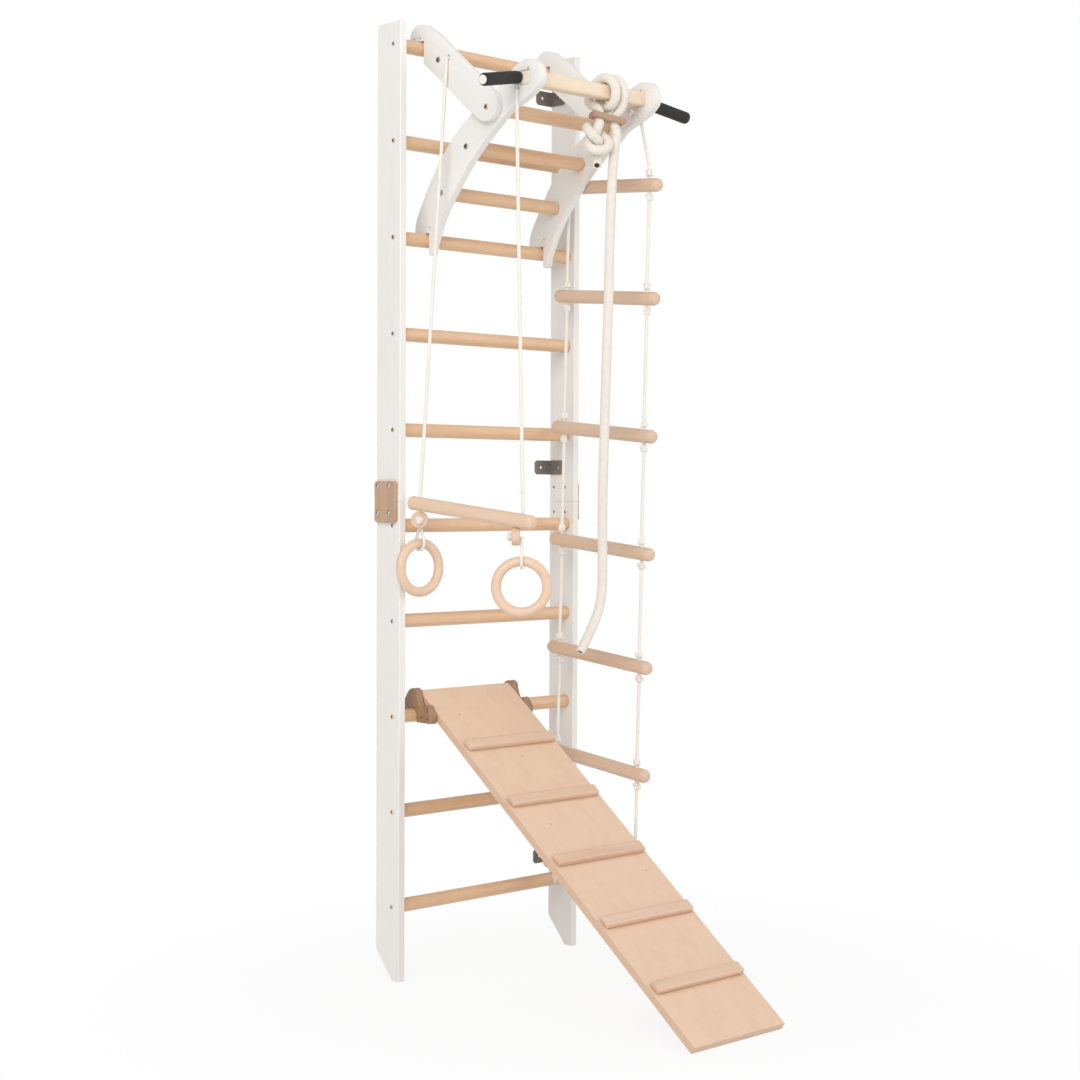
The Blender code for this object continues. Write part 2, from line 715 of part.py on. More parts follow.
def make_ring(word, pivot, ring_turn, beech, rope):
    """A ring in the loop of its own short rope."""
    normal = Vector((math.sin(ring_turn), math.cos(ring_turn), 0))
    middle = pivot - Vector((0, 0, ring_hang + ring_diameter / 2 - ring_tube / 2))
    bpy.ops.mesh.primitive_torus_add(
        major_segments=28,
        minor_segments=10,
        major_radius=(ring_diameter - ring_tube) / 2,
        minor_radius=ring_tube / 2,
    )
    ring = bpy.context.object
    for group in list(ring.users_collection):
        group.objects.unlink(ring)
    bpy.data.collections["climbing_frame"].objects.link(ring)
    ring.name = f"ring_{word}"
    ring.data.materials.append(beech)
    turn = normal.to_track_quat("Z", "Y").to_matrix().to_4x4()
    ring.data.transform(Matrix.Translation(middle) @ turn)
    ring.data.shade_smooth()
    wrap = (ring_tube + ring_rope) / 2 + rope_gap
    below_disc = disc_diameter / 2 + ring_rope / 2
    tube_z = -ring_hang
    shape = [(strand_half_gap, 0), (strand_half_gap, -below_disc * 0.6), (strand_half_gap * 1.15, -below_disc)]
    shape.append((wrap, tube_z + wrap * 0.45))
    arc_steps = 8
    loop = [Vector((-across, up)) for across, up in shape]
    for step in range(arc_steps + 1):
        angle = math.pi + math.pi * step / arc_steps
        loop.append(Vector((wrap * math.cos(angle), tube_z + wrap * math.sin(angle))))
    loop += [Vector((across, up)) for across, up in reversed(shape)]
    route_points = [pivot + normal * point.x + Vector((0, 0, point.y)) for point in loop]
    route = smooth_route(route_points, ring_rope)
    return [ring, tube(f"ring_rope_{word}", route, ring_rope, rope)]


def make_ladder(beech, rope):
    """Seven dowels on two knotted ropes."""
    exits = rope_exits(1)
    rear_x = exits[0].x
    front_x = exits[1].x + ladder_splay
    front_reach = ladder_rear_reach + ladder_rope_spacing
    pieces = []
    rear_seats = []
    front_seats = []
    for number, share in enumerate(ladder_height_shares):
        height = ladder_first_height - share * ladder_length
        lean = ladder_lean * share
        rear = Vector((rear_x - lean, -ladder_rear_reach, height + ladder_rung_drop / 2))
        front = Vector((front_x - lean, -front_reach, height - ladder_rung_drop / 2))
        along = (front - rear).normalized()
        rung = rod(f"ladder_rung_{number + 1}", rear - along * ladder_overhang, front + along * ladder_overhang,
                   ladder_rung_diameter, beech, sides=ladder_sides)
        rung = bevel(rung, dowel_round, 2)
        reach = Vector((0, 0, ladder_rung_diameter))
        hole = thin_rope + 2 * rope_gap + fit_gap
        drill(rung, rear - reach, rear + reach, hole, 8)
        drill(rung, front - reach, front + reach, hole, 8)
        pieces.append(shade(rung))
        rear_seats.append(rear)
        front_seats.append(front)
    for word, exit_place, seats in (("rear", exits[0], rear_seats), ("front", exits[1], front_seats)):
        route, radii = ladder_rope_route(exit_place, seats)
        pieces.append(tube(f"ladder_rope_{word}", route, thin_rope, rope, radii))
    return pieces


def ladder_rope_route(exit_place, seats):
    """A rope that falls to the first dowel and runs through all of them, knotted above and below each."""
    half_dowel = ladder_rung_diameter / 2
    knot_near = half_dowel + 3 * rope_gap
    knot_far = knot_near + knot_length
    knot_wide = knot_diameter / thin_rope
    first_knot = seats[0] + Vector((0, 0, knot_far))
    fall = first_knot - exit_place
    bend_shares = ((0.0, 0.0), (0.15, 0.12), (0.55, 0.55), (0.85, 0.93), (1.0, 1.0))
    lead = [exit_place + Vector((fall.x * side, fall.y * side, fall.z * down)) for down, side in bend_shares]
    route, radii = rounded_end(smooth_route(lead, 3 * thin_rope)[:-1], thin_rope)
    for seat in seats:
        for edge, other in ((knot_far, knot_near), (-knot_near, -knot_far)):
            for share, wide in ((0.0, 1.0), (0.3, knot_wide), (0.7, knot_wide), (1.0, 1.0)):
                route.append(seat + Vector((0, 0, edge + (other - edge) * share)))
                radii.append(wide)
    end = route[-1]
    route.append(end - Vector((0, 0, rope_tail)))
    radii.append(1.0)
    return route, radii


def wound_place(angle, x):
    """A place on the thick rope's axis round the bar: angle 0 is below the bar, a quarter turn behind it.

    The winding is round and clears the bar's corners, so that the rope swings freely on it.
    """
    out = bar_corner + climbing_rope / 2 + 1.5 * rope_gap
    return Vector((x, bar_y + out * math.sin(angle), bar_z - out * math.cos(angle)))


def climbing_rope_route():
    """From the free tail through the stopper knot and the adjuster, round the bar, and down to the end."""
    bar = Vector((0, bar_y, bar_z))
    tail_points = ((0.0300, -0.0021, -0.1680), (0.0395, 0.0056, -0.1565), (0.0426, 0.0085, -0.1403))
    knot_middle = (0.0408, 0.0045, -0.1045)
    rise_points = (
        (0.0438, 0.0037, -0.0675), (0.0457, 0.0078, -0.0591), (0.0473, 0.0067, -0.0540),
        (0.0422, 0.0082, -0.0368), (0.0396, 0.0350, -0.0158))
    drop_points = (
        (0.0863, -0.0321, -0.0076), (0.0872, -0.0247, -0.0280), (0.0812, -0.0126, -0.0488),
        (0.0798, -0.0105, -0.0551), (0.0794, -0.0091, -0.0643), (0.0846, -0.0104, -0.0956))
    fall_points = (
        (0.0785, -0.0100, -0.121), (0.0713, -0.0098, -0.197), (0.0648, -0.0098, -0.333), (0.0615, -0.0098, -0.470),
        (0.0561, -0.0098, -0.606), (0.0508, -0.0098, -0.765), (0.0468, -0.0098, -0.879), (0.0458, -0.0098, -0.970),
        (0.0465, -0.0098, -1.061), (0.0453, -0.0098, -1.130), (0.0329, -0.0098, -1.179), (0.0110, -0.0098, -1.219),
        (-0.0139, -0.0098, -1.255), (-0.0232, -0.0098, -1.268))
    knot = [Vector(knot_middle) + Vector(share) * stopper_knot_size for share in stopper_knot_shares]
    wound = []
    for step in range(round(wrap_turns * wrap_steps) + 1):
        turned = step / wrap_steps
        wound.append(wound_place(math.pi / 2 + 2 * math.pi * turned, wrap_start + wrap_pitch * turned))
    start = [bar + point for point in [Vector(point) for point in tail_points] + knot]
    rise = [bar + Vector(point) for point in rise_points]
    drop = [bar + Vector(point) for point in drop_points]
    fall = [bar + Vector(point) for point in fall_points]
    upper = smooth_route(start + rise + wound[4:-2] + drop, climbing_rope / 3.5)
    lower = smooth_route(drop[-1:] + fall, 2 * climbing_rope)
    return upper[:-1] + lower


def make_climbing_rope(plywood, rope):
    """The thick rope: wound round the bar, through its adjuster plate, and down to its free end."""
    route = climbing_rope_route()
    cord = tube("climbing_rope", route, climbing_rope, rope)
    print("climbing rope: length", round(route_length(route), 3), "pieces", len(route))

    rope_below_bar = bar_z - bar_corner - 1.5 * rope_gap - climbing_rope
    plate_z = rope_below_bar - adjuster_clear - adjuster_thickness / 2
    slope = math.atan2(adjuster_drop, adjuster_length)
    plate = block("rope_adjuster", (adjuster_length, adjuster_width, adjuster_thickness), (0, 0, 0), plywood)
    bevel(plate, adjuster_edge, 1)
    middle = Vector((adjuster_middle, bar_y - adjuster_forward, plate_z))
    turned = Matrix.Rotation(-adjuster_turn, 4, "Z") @ Matrix.Rotation(slope, 4, "Y")
    plate.data.transform(Matrix.Translation(middle) @ turned)
    reach = Vector((0, 0, 2 * adjuster_thickness))
    along = Vector((math.cos(adjuster_turn), -math.sin(adjuster_turn), 0)) * adjuster_hole_spacing / 2
    for hole_middle in (middle - along, middle + along):
        drill(plate, hole_middle - reach, hole_middle + reach, adjuster_hole, drill_sides)
    return [cord, shade(plate)]


start_scene()
paint = make_material("white_paint", (0.86, 0.85, 0.83), 0.35)
beech = make_material("beech", (0.80, 0.62, 0.45), 0.45)
plywood = make_material("plywood", (0.72, 0.53, 0.39), 0.55)
steel = make_material("bracket_steel", (0.30, 0.30, 0.29), 0.45, 0.8)
foam = make_material("grip_foam", (0.03, 0.03, 0.03), 0.85)
rope = make_material("cotton_rope", (0.88, 0.83, 0.75), 0.9)

root = hang("wall_bars_place", (0, 0, 0), None)
root.location = (0, rung_plane_y, 0)
carry(root, make_wall_bars(paint, beech, plywood, steel))

frame_empty = hang("pullup_frame_place", (0, 0, top_rung), root)
carry(frame_empty, make_pullup_frame(paint, beech, foam))

board_empty = hang("board_hinge", (0, 0, rung_height(board_rung)), root)
carry(board_empty, make_board(plywood, beech))

trapeze_empty = hang("trapeze_hinge", rope_exits(-1)[0], frame_empty)
trapeze_pieces, ring_pivots = make_trapeze(beech, rope)
carry(trapeze_empty, trapeze_pieces)
for ring_word, (ring_pivot, turned) in ring_pivots.items():
    ring_empty = hang(f"ring_{ring_word}_hinge", ring_pivot, trapeze_empty)
    carry(ring_empty, make_ring(ring_word, ring_pivot, turned, beech, rope))

ladder_empty = hang("ladder_hinge", rope_exits(1)[0], frame_empty)
carry(ladder_empty, make_ladder(beech, rope))

rope_empty = hang("climbing_rope_hinge", (0, bar_y, bar_z), frame_empty)
carry(rope_empty, make_climbing_rope(plywood, rope))
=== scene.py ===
"""Looks of the climbing frame: materials, ropes, knots, fasteners, floor, light and camera.

Metres, +Z up, the wall at +Y, the floor at Z = 0. Places are written from the plane of the wall
rungs' axes, as in the CAD source, and spot() moves them by rung_plane_y into the model's frame.
"""
import json
import math

import bmesh
import bpy
from mathutils import Matrix, Vector


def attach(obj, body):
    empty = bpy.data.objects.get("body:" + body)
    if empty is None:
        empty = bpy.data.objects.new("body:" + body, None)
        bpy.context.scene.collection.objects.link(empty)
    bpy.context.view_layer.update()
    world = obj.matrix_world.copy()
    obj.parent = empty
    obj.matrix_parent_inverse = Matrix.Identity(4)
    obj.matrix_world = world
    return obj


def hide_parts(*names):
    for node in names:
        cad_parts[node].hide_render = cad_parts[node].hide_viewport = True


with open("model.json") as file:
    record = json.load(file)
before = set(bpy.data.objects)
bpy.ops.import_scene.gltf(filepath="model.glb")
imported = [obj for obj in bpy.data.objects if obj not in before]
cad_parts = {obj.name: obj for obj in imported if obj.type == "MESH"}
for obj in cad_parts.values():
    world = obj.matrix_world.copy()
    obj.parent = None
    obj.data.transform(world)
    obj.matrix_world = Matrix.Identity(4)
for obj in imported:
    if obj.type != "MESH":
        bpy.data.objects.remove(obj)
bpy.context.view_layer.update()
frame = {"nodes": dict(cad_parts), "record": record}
nodes = frame["nodes"]
body_of_node = {}
for body_name, members in frame["record"]["behaviour"]["bodies"].items():
    for member in members:
        body_of_node[member] = body_name

# Sizes that the CAD source also has
rung_plane_y = 0.4115
clear_width = 0.530
post_thickness = 0.018
plate_thickness = 0.009
rung_count = 10
rung_pitch = 0.220
first_rung_height = 0.170
top_rung = first_rung_height + (rung_count - 1) * rung_pitch
hook_span = 2 * rung_pitch
third_rung = top_rung - hook_span
frame_clear_width = 0.342
arm_thickness = 0.018
arm_reach = 0.345
bar_size = 0.032
bar_edge = 0.005
rope_gap = 0.0006
fit_gap = 0.0003
thin_rope = 0.008
ring_rope = 0.007
ring_diameter = 0.134
ring_tube = 0.022
ring_hang = 0.054
strand_half_gap = 0.0042
climbing_rope = 0.022
wrap_start = 0.047
wrap_pitch = 0.025
wrap_steps = 48
stopper_knot_size = 0.02266
trapeze_diameter = 0.032
trapeze_rear_reach = 0.064
trapeze_front_reach = 0.376
trapeze_rear_side = 0.251
trapeze_front_side = 0.218
trapeze_rear_height = 1.100
trapeze_front_height = 1.065
rear_disc_reach = 0.0615
front_disc_reach = 0.3555
disc_diameter = 0.039
disc_thickness = 0.018
disc_turn = math.radians(42.7)
ladder_rung_diameter = 0.032
ladder_rear_reach = 0.065
ladder_rope_spacing = 0.285
ladder_splay = 0.004
ladder_lean = 0.037
ladder_rung_drop = 0.026
ladder_first_height = 1.855
ladder_length = 1.645
ladder_height_shares = (0.0, 0.160, 0.354, 0.520, 0.680, 0.832, 1.0)
knot_length = 0.016
rope_tail = 0.014
grip_diameter = 0.028
grip_length = 0.1295
grip_sweep = 0.0268
grip_drop = 0.0254
grip_set_back = 0.017
board_width = 0.279
board_left = 0.204
board_top_reach = 0.003
board_top_above_rung = 0.0575
board_rung = 3
hook_thickness = 0.018
post_outside = clear_width / 2 + post_thickness
lower_arm_outside = frame_clear_width / 2 + arm_thickness
upper_arm_outside = lower_arm_outside + arm_thickness
bar_y = -arm_reach
bar_z = third_rung + 0.741 * hook_span
rear_hole = (-0.305 * arm_reach, third_rung + 0.916 * hook_span)
front_hole = (-0.937 * arm_reach, third_rung + 0.682 * hook_span)


def spot(x, y, z):
    """A place in the model's frame from one measured from the rungs' plane."""
    return Vector((x, y + rung_plane_y, z))


# Camera at the photo's place
def make_camera():
    """The camera that took the photo, fitted to the posts, bolts and board corners in it."""
    place = spot(-3.0931, -3.5500, 1.1288)
    yaw, pitch, roll = 0.7448, -0.0244, 0.0042
    ahead = Vector((math.sin(yaw) * math.cos(pitch), math.cos(yaw) * math.cos(pitch), math.sin(pitch)))
    level = Vector((math.cos(yaw), -math.sin(yaw), 0.0))
    upward = level.cross(ahead)
    right = math.cos(roll) * level + math.sin(roll) * upward
    up = -math.sin(roll) * level + math.cos(roll) * upward
    data = bpy.data.cameras.new("photo_camera")
    data.sensor_width = 36.0
    data.lens = 65.55
    data.clip_end = 60.0
    camera = bpy.data.objects.new("photo_camera", data)
    bpy.context.scene.collection.objects.link(camera)
    matrix = Matrix((right, up, -ahead)).transposed().to_4x4()
    matrix.translation = place
    camera.matrix_world = matrix
    bpy.context.scene.camera = camera


make_camera()


# Materials
class Nodes:
    """Short names for building a material's node tree."""

    def __init__(self, name, roughness=0.5, metallic=0.0):
        self.material = bpy.data.materials.new(name)
        self.material.use_nodes = True
        self.tree = self.material.node_tree
        self.shader = self.tree.nodes["Principled BSDF"]
        self.shader.inputs["Roughness"].default_value = roughness
        self.shader.inputs["Metallic"].default_value = metallic

    def link(self, source, target):
        """Joins an output to an input."""
        self.tree.links.new(source, target)

    def add(self, kind, **settings):
        """A new node with these settings."""
        node = self.tree.nodes.new(kind)
        for key, value in settings.items():
            setattr(node, key, value)
        return node

    def place(self, scale, turn=(0, 0, 0)):
        """The place on the object, stretched and turned."""
        coordinates = self.add("ShaderNodeTexCoord")
        mapping = self.add("ShaderNodeMapping")
        mapping.inputs["Scale"].default_value = scale
        mapping.inputs["Rotation"].default_value = turn
        self.link(coordinates.outputs["Object"], mapping.inputs["Vector"])
        return mapping.outputs["Vector"]

    def noise(self, vector, detail=4.0, roughness=0.5, distortion=0.0):
        """Cloudy noise at a place."""
        noise = self.add("ShaderNodeTexNoise")
        noise.inputs["Scale"].default_value = 1.0
        noise.inputs["Detail"].default_value = detail
        noise.inputs["Roughness"].default_value = roughness
        noise.inputs["Distortion"].default_value = distortion
        self.link(vector, noise.inputs["Vector"])
        return noise.outputs["Fac"]

    def ramp(self, value, stops):
        """A colour ramp over a value."""
        ramp = self.add("ShaderNodeValToRGB")
        elements = ramp.color_ramp.elements
        while len(elements) < len(stops):
            elements.new(0.5)
        for element, (place, colour) in zip(elements, stops):
            element.position = place
            element.color = (*colour, 1.0)
        self.link(value, ramp.inputs["Fac"])
        return ramp.outputs["Color"]

    def mix(self, first, second, share, kind="MIX"):
        """Two colours mixed or multiplied; the sockets of a colour mix are found by number."""
        mix = self.add("ShaderNodeMix", data_type="RGBA", blend_type=kind)
        for socket, value in ((mix.inputs[6], first), (mix.inputs[7], second), (mix.inputs[0], share)):
            if isinstance(value, (int, float)):
                socket.default_value = value
            elif isinstance(value, tuple):
                socket.default_value = (*value, 1.0)
            else:
                self.link(value, socket)
        return mix.outputs[2]

    def math(self, operation, first, second=0.0):
        """A sum on values or sockets."""
        node = self.add("ShaderNodeMath", operation=operation)
        for socket, value in zip(node.inputs, (first, second)):
            if isinstance(value, (int, float)):
                socket.default_value = value
            else:
                self.link(value, socket)
        return node.outputs["Value"]

    def bump(self, height, distance, strength=1.0):
        """Raises the surface by a height socket."""
        bump = self.add("ShaderNodeBump")
        bump.inputs["Distance"].default_value = distance
        bump.inputs["Strength"].default_value = strength
        self.link(height, bump.inputs["Height"])
        self.link(bump.outputs["Normal"], self.shader.inputs["Normal"])

    def colour(self, value):
        """Sets the base colour to a colour or a socket."""
        if isinstance(value, tuple):
            self.shader.inputs["Base Color"].default_value = (*value, 1.0)
        else:
            self.link(value, self.shader.inputs["Base Color"])


def shade_of(colour, factor):
    """A darker or lighter tone of a colour."""
    return tuple(min(1.0, part * factor) for part in colour)


def wood(name, colour, along, turn=(0, 0, 0), contrast=1.0, layers=None, ends=None):
    """Varnished wood with its grain along one axis; layers draws plywood's plies across another.

    ends gives the distance along X from which on the end grain shows, and its colour.
    """
    made = Nodes(name, 0.42)
    stretch = {"X": (1, 14, 14), "Y": (14, 1, 14), "Z": (14, 14, 1)}[along]
    broad = made.noise(made.place([2.2 * part for part in stretch], turn), 3.0, 0.5, 0.6)
    fibre = made.noise(made.place([11.0 * part for part in stretch], turn), 5.0, 0.6, 0.2)
    flecks = made.noise(made.place([30.0 * part for part in stretch], turn), 2.0)
    deep = tuple(part ** (1 + 0.16 * contrast) * (1 - 0.05 * contrast) for part in colour)
    light = tuple(min(1.0, part ** (1 - 0.07 * contrast)) for part in colour)
    base = made.ramp(broad, ((0.30, deep), (0.50, colour), (0.72, light)))
    lines = made.ramp(fibre, ((0.36, (0.90, 0.86, 0.82)), (0.56, (1.0, 1.0, 1.0))))
    base = made.mix(base, lines, 0.35 * contrast, "MULTIPLY")
    dashes = made.ramp(flecks, ((0.24, (0.72, 0.60, 0.50)), (0.34, (1.0, 1.0, 1.0))))
    base = made.mix(base, dashes, 0.35 * contrast, "MULTIPLY")
    if layers is not None:
        axis, pitch, first = layers
        coordinates = made.add("ShaderNodeTexCoord")
        dot = made.add("ShaderNodeVectorMath", operation="DOT_PRODUCT")
        dot.inputs[1].default_value = axis
        made.link(coordinates.outputs["Object"], dot.inputs[0])
        depth = made.math("SUBTRACT", dot.outputs["Value"], first)
        wave = made.math("SINE", made.math("MULTIPLY", depth, math.pi / pitch))
        plies = made.ramp(made.math("ADD", made.math("MULTIPLY", wave, 0.5), 0.5),
                          ((0.42, (0.74, 0.64, 0.55)), (0.58, (1.0, 1.0, 1.0))))
        base = made.mix(base, plies, 0.75, "MULTIPLY")
    if ends is not None:
        parts = made.add("ShaderNodeSeparateXYZ")
        made.link(made.add("ShaderNodeTexCoord").outputs["Object"], parts.inputs[0])
        beyond = made.math("GREATER_THAN", made.math("ABSOLUTE", parts.outputs["X"]), ends[0])
        base = made.mix(base, ends[1], beyond)
    made.colour(base)
    made.bump(fibre, 0.00015, 0.5)
    made.shader.inputs["Coat Weight"].default_value = 0.12
    made.shader.inputs["Coat Roughness"].default_value = 0.3
    return made.material


def paint(name, colour):
    """Satin white paint over plywood, with the grain faintly felt through it."""
    made = Nodes(name, 0.38)
    cloud = made.noise(made.place((5, 5, 2)), 3.0)
    grain = made.noise(made.place((160, 160, 9)), 4.0, 0.6)
    base = made.ramp(cloud, ((0.35, shade_of(colour, 0.975)), (0.65, colour)))
    lines = made.ramp(grain, ((0.35, (0.965, 0.96, 0.95)), (0.6, (1.0, 1.0, 1.0))))
    base = made.mix(base, lines, 0.6, "MULTIPLY")
    made.colour(base)
    made.bump(grain, 0.0001, 0.35)
    return made.material


def metal(name, colour, roughness, scale=300.0, metallic=1.0):
    """Plated or coated steel with a fine uneven sheen."""
    made = Nodes(name, roughness, metallic)
    spots = made.noise(made.place((scale, scale, scale)), 4.0)
    made.colour(made.ramp(spots, ((0.3, shade_of(colour, 0.75)), (0.7, shade_of(colour, 1.15)))))
    made.bump(spots, 0.00005, 0.4)
    return made.material


def braid(name, colour, pitch, strands, depth):
    """A braided rope; the mesh's map gives the distance along it and the place around it."""
    made = Nodes(name, 0.85)
    coordinates = made.add("ShaderNodeUVMap", uv_map="cord")
    parts = made.add("ShaderNodeSeparateXYZ")
    made.link(coordinates.outputs["UV"], parts.inputs[0])
    along = made.math("MULTIPLY", parts.outputs["X"], 2 * math.pi / pitch)
    around = made.math("MULTIPLY", parts.outputs["Y"], 2 * math.pi * strands)
    one = made.math("SINE", made.math("ADD", along, around))
    other = made.math("SINE", made.math("SUBTRACT", along, around))
    weave = made.math("ADD", made.math("MULTIPLY", made.math("MULTIPLY", one, other), 0.5), 0.5)
    cloud = made.noise(made.place((60, 60, 60)), 3.0)
    fuzz = made.noise(made.place((900, 900, 900)), 2.0)
    base = made.ramp(cloud, ((0.3, shade_of(colour, 0.94)), (0.7, colour)))
    gaps = made.ramp(weave, ((0.0, (0.84, 0.80, 0.74)), (0.35, (1.0, 1.0, 1.0))))
    base = made.mix(base, gaps, 0.55, "MULTIPLY")
    made.colour(base)
    made.bump(made.math("ADD", weave, made.math("MULTIPLY", fuzz, 0.35)), depth, 0.7)
    made.shader.inputs["Sheen Weight"].default_value = 0.25
    made.shader.inputs["Sheen Roughness"].default_value = 0.5
    return made.material


def foam(name, colour):
    """Closed-cell foam with a fine pebbled skin."""
    made = Nodes(name, 0.72)
    cells = made.add("ShaderNodeTexVoronoi")
    cells.inputs["Scale"].default_value = 1.0
    made.link(made.place((900, 900, 900)), cells.inputs["Vector"])
    cloud = made.noise(made.place((70, 70, 70)), 3.0)
    made.colour(made.ramp(cloud, ((0.35, shade_of(colour, 0.8)), (0.65, shade_of(colour, 1.25)))))
    made.bump(cells.outputs["Distance"], 0.0002, 0.5)
    return made.material


# The board's slope, as a rise and a run of unit length
board_rise = 0.59725
board_run = 0.80205
board_up = (0.0, -board_rise, board_run)
board_turn = (-math.atan2(board_rise, board_run), 0, 0)
ply_pitch = 0.0014
first_ply = 0.3002 - ply_pitch / 2
white = paint("white_paint_finish", (0.885, 0.862, 0.826))
beech_wall = wood("beech_wall_rungs", (0.78, 0.515, 0.315), "X", contrast=1.2)
beech_bar = wood("beech_pullup_bar", (0.87, 0.70, 0.53), "X", contrast=0.5, ends=(0.1886, (0.87, 0.80, 0.72)))
beech_end = wood("beech_grip_core", (0.88, 0.82, 0.75), "X", contrast=0.3)
beech_light = wood("beech_trapeze_and_rings", (0.80, 0.58, 0.42), "Y", contrast=0.5)
beech_ladder = wood("beech_ladder_rungs", (0.72, 0.52, 0.375), "Y", contrast=0.7)
board_face = wood("plywood_board", (0.79, 0.565, 0.405), "Y", board_turn, contrast=0.35,
                  layers=(board_up, ply_pitch, first_ply))
cleat_wood = wood("beech_cleats", (0.745, 0.52, 0.375), "X", contrast=0.9)
disc_wood = wood("beech_discs", (0.74, 0.53, 0.385), "X", contrast=0.7)
adjuster_wood = wood("beech_rope_adjuster", (0.45, 0.285, 0.185), "X", contrast=0.9)
plate_wood = wood("plywood_joint_plates", (0.56, 0.375, 0.245), "Z", contrast=0.6)
hook_wood = wood("plywood_hooks", (0.36, 0.22, 0.125), "Z", contrast=0.7)
steel_dark = metal("steel_bracket_coated", (0.25, 0.225, 0.20), 0.45, metallic=0.35)
zinc = metal("zinc_plated_steel", (0.66, 0.64, 0.60), 0.3, 900.0)
zinc_worn = metal("zinc_plated_steel_worn", (0.34, 0.32, 0.29), 0.4, 900.0)
brass = metal("yellow_plated_steel", (0.72, 0.55, 0.30), 0.3, 900.0)
dark_steel = metal("black_oxide_steel", (0.06, 0.055, 0.05), 0.5, 900.0)
rope_thick = braid("cotton_rope_thick", (0.86, 0.80, 0.72), 0.0105, 8, 0.0007)
rope_thin = braid("cotton_rope_thin", (0.90, 0.86, 0.79), 0.0052, 4, 0.0004)
grip_foam = foam("black_foam", (0.020, 0.018, 0.016))


def painted_rope_end_shade():
    """Near-black colour for the bottoms of the thick rope's hollow cut ends: painted shade for the dark
    inside of each end.
    """
    made = Nodes("painted_shade_rope_ends", 0.9)
    speckle = made.noise(made.place((500, 500, 500)), 3.0)
    made.colour(made.ramp(speckle, ((0.35, (0.015, 0.013, 0.012)), (0.75, (0.10, 0.09, 0.08)))))
    return made.material


rope_end_shade_material = painted_rope_end_shade()


# Small tools for making pieces
def finish_piece(piece, body, material):
    """Gives a piece its finish and hangs it on its body."""
    if material is not None:
        if len(piece.data.materials):
            piece.data.materials.clear()
        for one in material if isinstance(material, (list, tuple)) else [material]:
            piece.data.materials.append(one)
    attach(piece, body)
    return piece


def from_form(name, form, body, material, smooth_angle=35.0):
    """Makes an object from a bmesh."""
    mesh = bpy.data.meshes.new(name)
    form.to_mesh(mesh)
    form.free()
    mesh.shade_smooth()
    mesh.set_sharp_from_angle(angle=math.radians(smooth_angle))
    piece = bpy.data.objects.new(name, mesh)
    bpy.context.scene.collection.objects.link(piece)
    return finish_piece(piece, body, material)


def smooth_route(points, spacing):
    """Points at an even spacing along a smooth curve through the route's own points."""
    points = [Vector(point) for point in points]
    padded = [2 * points[0] - points[1], *points, 2 * points[-1] - points[-2]]
    fine = []
    steps = 12
    for before, start, end, after in zip(padded, padded[1:], padded[2:], padded[3:]):
        for step in range(steps):
            share = step / steps
            fine.append(0.5 * (
                2 * start
                + (end - before) * share
                + (2 * before - 5 * start + 4 * end - after) * share ** 2
                + (3 * start - before - 3 * end + after) * share ** 3
            ))
    fine.append(points[-1])
    travelled = [0.0]
    for here, there in zip(fine, fine[1:]):
        travelled.append(travelled[-1] + (there - here).length)
    count = max(2, round(travelled[-1] / spacing) + 1)
    route = []
    index = 0
    for number in range(count):
        wanted = travelled[-1] * number / (count - 1)
        while index < len(fine) - 2 and travelled[index + 1] < wanted:
            index += 1
        stretch = travelled[index + 1] - travelled[index]
        route.append(fine[index].lerp(fine[index + 1], (wanted - travelled[index]) / stretch))
    return route


def sweep(name, route, radius, body, material, sides=16, hollow=False, closed=False):
    """A round rope along a route, with a map of the distance along it and the place around it.

    hollow gives the cut ends a shallow recess whose bottom takes the second material, a near-black painted
    shade; otherwise they are domed.
    """
    end_share = 0.86
    form = bmesh.new()
    layer = form.loops.layers.uv.new("cord")
    count = len(route)
    travelled = [0.0]
    for here, there in zip(route, route[1:]):
        travelled.append(travelled[-1] + (there - here).length)
    ways = []
    for number in range(count):
        if closed:
            way = route[(number + 1) % count] - route[number - 1]
        else:
            way = route[min(number + 1, count - 1)] - route[max(number - 1, 0)]
        ways.append(way.normalized())
    side = ways[0].orthogonal().normalized()
    rings = []
    for number, (place, way) in enumerate(zip(route, ways)):
        if number:
            side = ways[number - 1].rotation_difference(way) @ side
            side = (side - way * side.dot(way)).normalized()
        across = way.cross(side)
        share = 1.0
        if not closed and number in (0, count - 1):
            share = end_share
        rings.append([form.verts.new(place + radius * share * (
            math.cos(2 * math.pi * corner / sides) * side + math.sin(2 * math.pi * corner / sides) * across))
            for corner in range(sides)])
    for number in range(count - 1):
        for corner in range(sides):
            after = (corner + 1) % sides
            face = form.faces.new((rings[number][corner], rings[number][after],
                                   rings[number + 1][after], rings[number + 1][corner]))
            near, far = travelled[number], travelled[number + 1]
            low, high = corner / sides, (corner + 1) / sides
            values = ((near, low), (near, high), (far, high), (far, low))
            for loop, value in zip(face.loops, values):
                loop[layer].uv = value
    if closed:
        twist = min(range(sides), key=lambda turn: (rings[-1][turn].co - rings[0][0].co).length)
        for corner in range(sides):
            after = (corner + 1) % sides
            form.faces.new((rings[-1][(corner + twist) % sides], rings[-1][(after + twist) % sides],
                            rings[0][after], rings[0][corner]))
    else:
        for end, way, ring in ((route[0], -ways[0], rings[0]), (route[-1], ways[-1], rings[-1])):
            inner = ring
            for share, back in (((0.62, 0.0), (0.56, 0.12)) if hollow else ((0.5, -0.12),)):
                next_ring = [form.verts.new(end + (vert.co - end) * (share / end_share) - way * radius * back)
                             for vert in ring]
                for corner in range(sides):
                    after = (corner + 1) % sides
                    form.faces.new((inner[corner], inner[after], next_ring[after], next_ring[corner]))
                inner = next_ring
            # In a hollow end the cap takes the second material, which is painted shade.
            cap = form.faces.new(inner)
            cap.material_index = 1 if hollow else 0
    bmesh.ops.recalc_face_normals(form, faces=form.faces)
    return from_form(name, form, body, material, 50.0)


